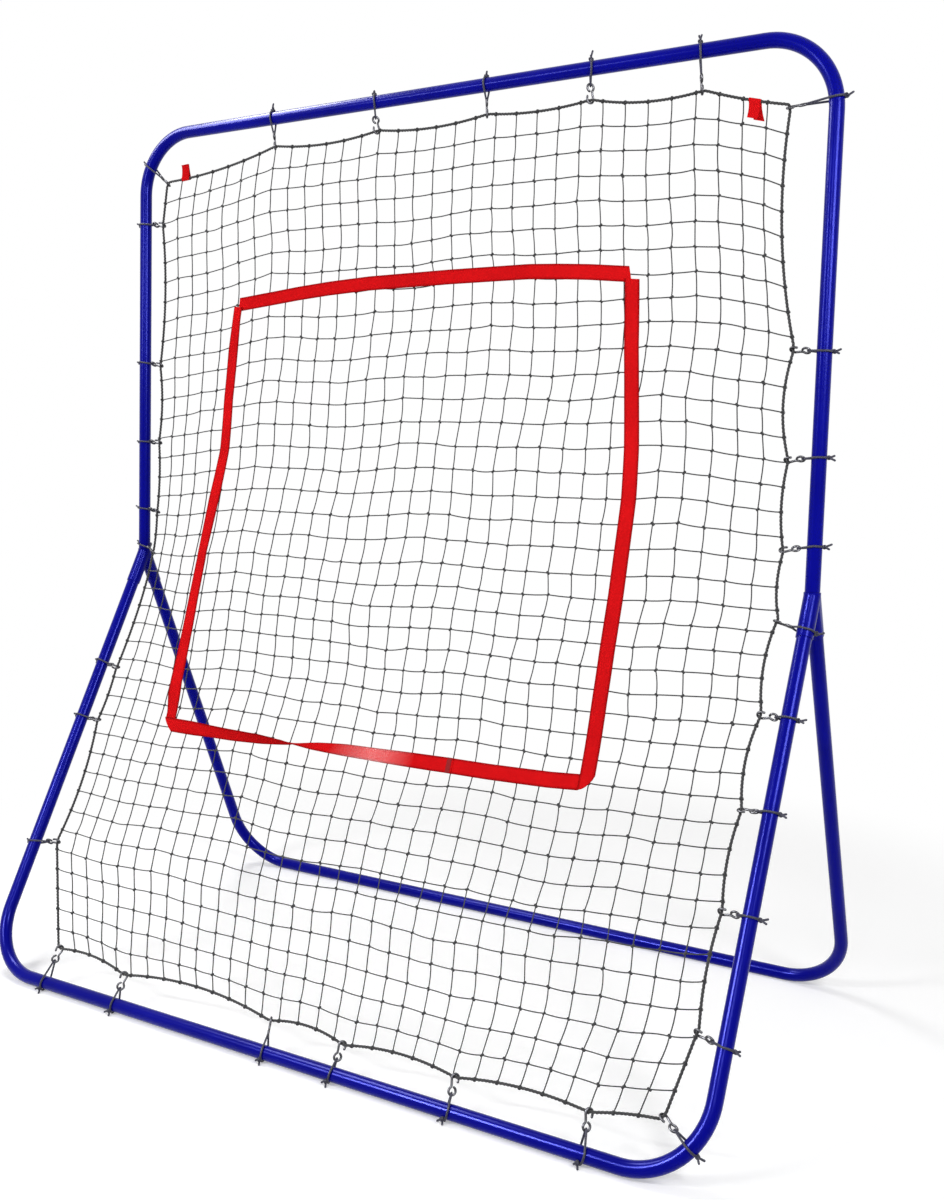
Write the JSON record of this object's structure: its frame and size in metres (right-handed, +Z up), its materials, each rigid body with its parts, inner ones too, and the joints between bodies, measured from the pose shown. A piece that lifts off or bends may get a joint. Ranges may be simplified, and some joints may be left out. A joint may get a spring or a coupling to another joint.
{
  "type": "pitch back rebounder",
  "caption": "Free-standing ball rebounder: a square-mesh net with a strike-zone band, hung by hooked elastic ties in a bent steel tube frame that leans on a slanted rear bow.",
  "frame": {"origin": "on the ground, at the middle of the rebounder's outline", "axes": "+Z up, X across the frame, the thrower stands on the -Y side and the rear bow reaches back towards +Y"},
  "size_m": [1.3656, 0.7228, 1.5277],
  "materials": {
    "powder_coat": "gloss ultramarine powder coat on steel tube",
    "net_cord": "black knotted synthetic cord",
    "border_rope": "black twisted synthetic rope",
    "webbing": "red woven webbing",
    "tie_hardware": "dark wire hook with black covered elastic cord"
  },
  "bodies": {
    "rear_stand": {"rear_bow": "powder_coat"},
    "frame": {"upper_bow": "powder_coat", "front_bow": "powder_coat", "y_connector_left": "powder_coat", "y_connector_right": "powder_coat", "tie_top_left": "tie_hardware", "tie_top_1": "tie_hardware", "tie_top_2": "tie_hardware", "tie_top_3": "tie_hardware", "tie_top_4": "tie_hardware", "tie_top_5": "tie_hardware", "tie_top_right": "tie_hardware", "tie_right_1": "tie_hardware", "tie_right_2": "tie_hardware", "tie_right_3": "tie_hardware", "tie_right_4": "tie_hardware", "tie_right_5": "tie_hardware", "tie_right_6": "tie_hardware", "tie_right_7": "tie_hardware", "tie_right_8": "tie_hardware", "tie_bottom_right": "tie_hardware", "tie_bottom_1": "tie_hardware", "tie_bottom_2": "tie_hardware", "tie_bottom_3": "tie_hardware", "tie_bottom_4": "tie_hardware", "tie_bottom_5": "tie_hardware", "tie_bottom_6": "tie_hardware", "tie_left_1": "tie_hardware", "tie_left_2": "tie_hardware", "tie_left_3": "tie_hardware", "tie_left_4": "tie_hardware", "tie_left_5": "tie_hardware", "tie_left_6": "tie_hardware", "tie_left_7": "tie_hardware", "tie_left_8": "tie_hardware"},
    "net": {"net": "net_cord", "border_rope": "border_rope", "strike_zone_band": "webbing", "tab_left": "webbing", "tab_right": "webbing"}
  },
  "joints": [
    {"name": "rear_socket_slide", "type": "slide", "parent": "rear_stand", "child": "frame", "axis": [0, -0.3762, 0.9265], "range_m": [0, 0.045]},
    {"name": "net_rebound", "type": "slide", "parent": "frame", "child": "net", "axis": [0, 1, 0], "range_m": [-0.02, 0.06], "stiffness_N_per_m": 2000, "deforming": ["tie_top_left", "tie_top_1", "tie_top_2", "tie_top_3", "tie_top_4", "tie_top_5", "tie_top_right", "tie_right_1", "tie_right_2", "tie_right_3", "tie_right_4", "tie_right_5", "tie_right_6", "tie_right_7", "tie_right_8", "tie_bottom_right", "tie_bottom_1", "tie_bottom_2", "tie_bottom_3", "tie_bottom_4", "tie_bottom_5", "tie_bottom_6", "tie_left_1", "tie_left_2", "tie_left_3", "tie_left_4", "tie_left_5", "tie_left_6", "tie_left_7", "tie_left_8"]}
  ]
}
